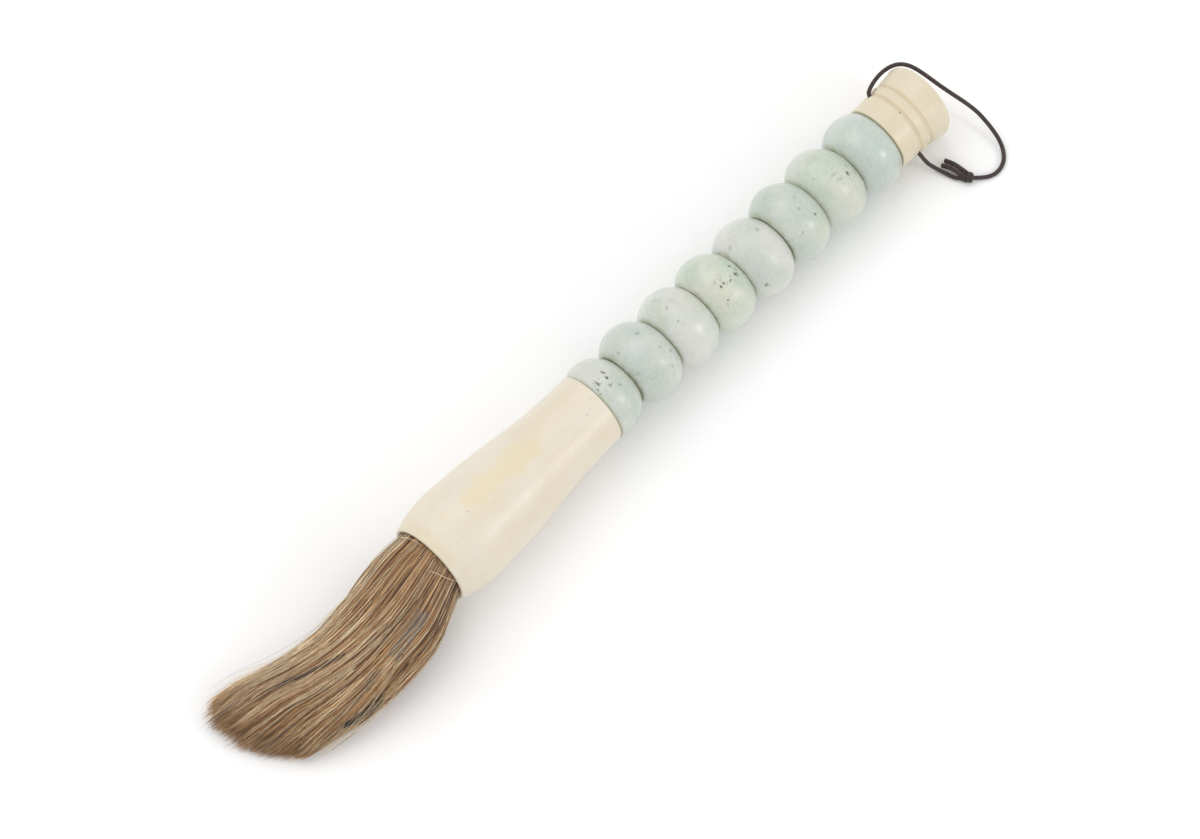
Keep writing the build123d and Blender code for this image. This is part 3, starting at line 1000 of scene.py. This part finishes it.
def strand_mesh(name, line, radius, numbers, materials):
    """Three-sided tubes along many lines at once, with a material for each length of each one."""
    line[..., 2] = np.maximum(line[..., 2], lowest_hair)
    count, segments, _ = line.shape
    sides = 3
    tangent = np.gradient(line, axis=1)
    tangent /= np.linalg.norm(tangent, axis=2, keepdims=True)
    first = np.cross(tangent, (0.05, 0.1, 1))
    first /= np.linalg.norm(first, axis=2, keepdims=True)
    second = np.cross(tangent, first)
    rings = np.stack([
        line + radius[..., None] * (math.cos(corner) * first + math.sin(corner) * second)
        for corner in math.pi / 2 + 2 * math.pi * np.arange(sides) / sides
    ], axis=2)
    strand = np.arange(count)[:, None, None] * segments * sides
    here = strand + np.arange(segments - 1)[None, :, None] * sides
    k = np.arange(sides)
    after = (k + 1) % sides
    quads = np.stack([here + k, here + after, here + sides + after, here + sides + k], axis=-1)
    root_caps = strand[:, 0, :1] + np.array([[0, 2, 1]])
    tip_caps = strand[:, 0, :1] + (segments - 1) * sides + np.array([[0, 1, 2]])
    faces = quads.reshape(-1, 4).tolist() + root_caps.tolist() + tip_caps.tolist()
    piece = mesh_object(name, rings.reshape(-1, 3), faces, materials)
    of_quads = np.repeat(numbers[:, :-1, None], sides, axis=2).ravel()
    of_faces = np.concatenate([of_quads, numbers[:, 0], numbers[:, -1]])
    piece.data.polygons.foreach_set("material_index", of_faces.astype(np.int32))
    return piece


def coat_tones(tone, out, turn, chance):
    """Tans and browns with a few blond hairs, paler along both sides, darker at the root and in a
    band between, with the single streaks."""
    turn = turn_gap(turn, 0)
    for middle, half_width, start, length, change in coat_bands:
        inside = np.clip(1 - np.abs(turn - middle) / half_width, 0, 1)
        tone = tone + change * inside * ramp(out, start, length)
    tone = tone - 0.55 * ramp(out, 40, -24)
    numbers = np.array([tone_numbers[name] for name in coat_order])[np.digitize(tone, tone_steps)]
    for middle, turning, half_width, start, end, share, name in coat_streaks:
        inside = np.abs(turn - (middle + turning * (out - start))) < half_width
        inside = inside & (out > start) & (out < end) & (chance < share)
        numbers = np.where(inside, tone_numbers[name], numbers)
    return numbers


def stray_tones(tone, out, turn, chance):
    """Pale single hairs, a few of them black or grey."""
    chance = np.broadcast_to(chance, out.shape)
    black, grey, blond = (tone_numbers[name] for name in ("hair_black", "hair_grey", "hair_blond"))
    return np.select([chance < 0.1, chance < 0.35], [black, grey], blond)


# --- floor and light ---
def add_floor():
    paint = Painter("floor_paper", Roughness=0.9)
    grain = paint.noise(paint.object_place(), 60, 4)
    material = paint.finish(paint.mix(grain, (0.93, 0.93, 0.93, 1), (0.96, 0.96, 0.96, 1)))
    half = 1500
    corners = [(-half, -half, 0), (half, -half, 0), (half, half, 0), (-half, half, 0)]
    floor = mesh_object("floor", corners, [(0, 1, 2, 3)], [material], smooth=False)


def add_area_light(name, place, aim, size, power):
    data = bpy.data.lights.new(name, "AREA")
    data.shape = "DISK"
    data.size = size
    data.energy = power
    light = bpy.data.objects.new(name, data)
    light.location = place
    light.rotation_euler = (Vector(aim) - Vector(place)).to_track_quat("-Z", "Y").to_euler()
    bpy.context.scene.collection.objects.link(light)


def add_lights():
    """Even white light from all round, a broad lamp overhead on the left and a low one on the right."""
    world = bpy.data.worlds.new("studio")
    bpy.context.scene.world = world
    world.use_nodes = True
    background = world.node_tree.nodes["Background"]
    background.inputs["Color"].default_value = (1, 1, 1, 1)
    background.inputs["Strength"].default_value = 0.92
    add_area_light("soft_overhead", (-0.2, 1.1, 2), (0, 0, 0), 2.4, 13.5)
    add_area_light("low_window", (0.75, -1.5, 0.95), (0, 0, 0), 0.42, 4.8)


# --- the brush ---
cream = rgb(220, 212, 195)
warm_cream = rgb(216, 204, 180)
ferrule_patches = [
    ((34, 1.7, 17), (22, 5.6, 8), 0.5, rgb(221, 204, 160)),
    ((1, 3, 15), (4, 16, 12), 0.4, rgb(212, 198, 160)),
    ((17.5, -1, 18.2), (0.35, 0.35, 1), 1, rgb(120, 100, 70)),
]
groove_tint = rgb(196, 176, 134)
cap_patches = [
    ((cap_x + groove_x + 0.4, 0, 0), (0.6, 60, 60), 0.42, groove_tint),
    ((cap_x + second_groove_x + 0.3, 0, 0), (0.55, 60, 60), 0.45, groove_tint),
    ((cap_x + 8, -2.3, 12.5), (0.5, 0.55, 1), 0.85, rgb(120, 104, 74)),
    ((cap_x + 5.8, -2.3, 12.5), (1.6, 0.2, 1), 0.45, rgb(160, 140, 104)),
    ((cap_x + 11, -0.9, 12.7), (0.8, 0.5, 1), 0.4, rgb(190, 160, 110)),
]
warm_tint = rgb(205, 203, 184)
pink_tint = rgb(203, 200, 191)
green_tint = rgb(174, 189, 172)
blue_tint = rgb(176, 188, 184)
# How each bead looks: its two colours and share of warm clouds; tints by distance from its first
# face, turn in degrees, half length along and around, strength and colour; clusters of specks by
# place, size and strength; and single marks by place, half length along and around and strength.
jade_looks = [
    {"pale": rgb(196, 199, 191), "green": rgb(178, 189, 178), "warm": 0.2,
     "tints": [(3.6, 44, 5, 7, 0.7, pink_tint), (9.5, 115, 4, 8, 0.4, green_tint)],
     "clusters": [(5, 93, 5, 0.35)],
     "marks": [(2.8, 85, 0.5, 1.1, 0.9), (7.2, 78, 0.5, 1, 0.85), (6.6, 88, 0.6, 0.8, 0.95),
               (5.5, 99, 0.7, 0.7, 0.6), (8.3, 106, 0.6, 0.7, 0.5), (1.3, 91, 0.4, 0.6, 0.6),
               (1, 98, 0.4, 0.5, 0.4)]},
    {"pale": rgb(193, 198, 190), "green": rgb(179, 189, 180), "warm": 0.1,
     "tints": [(11.3, 73, 2, 3, 0.5, blue_tint), (4, 95, 5, 6, 0.4, blue_tint)],
     "clusters": [(10, 125, 8, 0.1)],
     "marks": [(11.3, 73, 1, 0.8, 0.35), (2.5, 69, 0.7, 0.7, 0.3), (1.4, 61, 1, 0.7, 0.3),
               (1.8, 114, 0.8, 0.8, 0.35), (13.3, 107, 0.8, 0.7, 0.3), (15.7, 124, 0.7, 1, 0.35),
               (12.6, 139, 0.7, 0.9, 0.35), (11.6, 151, 0.6, 0.8, 0.3), (5.1, 138, 0.8, 0.7, 0.25)]},
    {"pale": rgb(206, 207, 201), "green": rgb(191, 197, 188), "warm": 0.3,
     "tints": [(4, 60, 4, 5, 0.4, green_tint)],
     "clusters": [],
     "marks": [(6.6, 75, 0.8, 0.8, 0.3), (6.7, 48, 0.9, 0.9, 0.25), (5.8, 99, 0.4, 0.4, 0.4)]},
    {"pale": rgb(200, 204, 190), "green": rgb(180, 194, 175), "warm": 0.2,
     "tints": [(6.5, 102, 4.5, 9, 0.7, warm_tint), (5, 60, 4, 7, 0.6, green_tint),
               (15, 122, 3, 9, 0.5, green_tint)],
     "clusters": [(12, 106, 4, 0.3), (6, 140, 4, 0.2)],
     "marks": [(15, 91, 0.6, 0.6, 0.8), (14.5, 106, 0.8, 1, 0.85), (8.5, 104, 0.5, 0.7, 0.85),
               (7.1, 105.5, 0.5, 0.6, 0.85), (11.1, 108, 0.6, 0.5, 0.75), (6, 126, 0.5, 0.5, 0.9),
               (6.5, 95, 0.7, 0.5, 0.35), (15.8, 101, 0.4, 0.8, 0.5)]},
    {"pale": rgb(204, 205, 199), "green": rgb(189, 195, 187), "warm": 0.2,
     "tints": [(15.5, 108, 4, 8, 0.5, pink_tint), (3, 140, 3, 6, 0.4, blue_tint)],
     "clusters": [],
     "marks": [(13.3, 82, 1, 0.8, 0.35), (2.5, 69, 0.8, 0.8, 0.3), (3.5, 157, 0.7, 0.8, 0.75)]},
    {"pale": rgb(191, 197, 188), "green": rgb(178, 189, 178), "warm": 0.1,
     "tints": [(13, 155, 4, 5, 0.5, rgb(196, 200, 172)), (12, 95, 4, 6, 0.3, green_tint)],
     "clusters": [(9, 95, 4, 0.25)],
     "marks": [(12.9, 122.8, 0.5, 0.7, 0.95), (9.6, 101, 0.6, 0.5, 0.4), (11.8, 85, 0.6, 0.5, 0.25)]},
    {"pale": rgb(195, 201, 189), "green": rgb(181, 191, 176), "warm": 0.15,
     "tints": [(9, 138, 5, 8, 0.7, pink_tint), (5, 75, 6, 7, 0.5, green_tint)],
     "clusters": [(15, 118, 3, 0.4)],
     "marks": [(13.9, 112, 0.6, 0.9, 0.9), (10.4, 110, 1.5, 0.7, 0.3), (9.5, 101, 1.5, 0.6, 0.25),
               (16.9, 120, 0.5, 1.2, 0.4), (15.8, 104, 0.4, 0.8, 0.4)]},
    {"pale": rgb(190, 198, 190), "green": rgb(179, 189, 181), "warm": 0,
     "tints": [(9, 122, 5, 6, 0.3, rgb(184, 200, 190))], "clusters": [], "marks": []},
]


def place_on_body(piece, body, slot, *nodes):
    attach(piece, body)
    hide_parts(*nodes)


def add_cord():
    black = cord_material()
    cord, line = make_cord(black)
    knot = make_knot(black)
    tails = make_tails(black)
    place_on_body(cord, "loop", "cord", "hang_cord")
    place_on_body(knot, "loop", "cord", "cord_knot")
    for tail, node in zip(tails, tail_routes):
        place_on_body(tail, "loop", "cord", node)


def add_turned_pieces():
    bone = bone_material("bone_ferrule", cream, warm_cream, ferrule_patches)
    place_on_body(make_ferrule(bone), "root", "bone", "ferrule")
    cap_bone = bone_material("bone_cap", rgb(214, 203, 178), rgb(210, 194, 162), cap_patches)
    place_on_body(make_cap(cap_bone), "root", "bone", "cap")
    for number, (radius, width, face) in enumerate(zip(bead_radii, bead_widths, bead_faces), 1):
        widest = width / 2
        if number == 1:
            widest = first_bead_seat
        if number == len(bead_radii):
            widest = width - last_bead_seat

        def on_side(x, degrees):
            here = radius * math.sqrt(1 - ((x - widest) / bead_half_length) ** 2)
            turn = math.radians(degrees)
            return face + x, here * math.cos(turn), here * math.sin(turn)

        stone = jade_material(number, jade_looks[number - 1], face, face + width, on_side)
        bead = make_bead(number, radius, width, face, widest, stone)
        place_on_body(bead, "root", "jade", f"jade_bead_{number}")


def paint_node(name, material):
    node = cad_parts[name]
    node.data.materials.clear()
    node.data.materials.append(material)


def paint_inner_parts():
    olive = glue_material("glue_olive", rgb(150, 154, 124), rgb(178, 180, 152))
    brown = glue_material("glue_brown", rgb(164, 148, 118), rgb(190, 174, 142))
    paint_node("handle_rod", wood_material())
    paint_node("root_plug", glue_material("rosin", rgb(96, 62, 30), rgb(134, 92, 48)))
    paint_node("root_binding", thread_material())
    paint_node("ferrule_glue_line", brown)
    paint_node("cap_glue_line", olive)
    for number in range(1, len(bead_radii)):
        paint_node(f"bead_glue_{number}", olive)


def add_hair():
    tones = hair_materials()
    pieces = [make_undermass(undermass_material())]
    for number, depth in enumerate(coat_layers, 1):
        name = f"hair_coat_{number}"
        pieces.append(make_strands(name, tones, coat_count, depth, 30 + number, coat_tones))
    pieces.append(make_strands("hair_tips", tones, tip_count, tip_depth, 41, coat_tones,
                               segments=12, first_out=48, ragged=2.2))
    pieces.append(make_strands("hair_strays", tones, stray_count, stray_depth, 42, stray_tones,
                               fly=1.5, rise=1, thick=stray_radius))
    pieces.append(make_wisps(tones))
    for piece in pieces:
        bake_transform(piece)
    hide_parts("hair_root", "hair_mantle", "hair_core")


bpy.context.scene.view_settings.view_transform = "Standard"
add_camera()
add_cord()
add_turned_pieces()
paint_inner_parts()
add_hair()
add_floor()
add_lights()
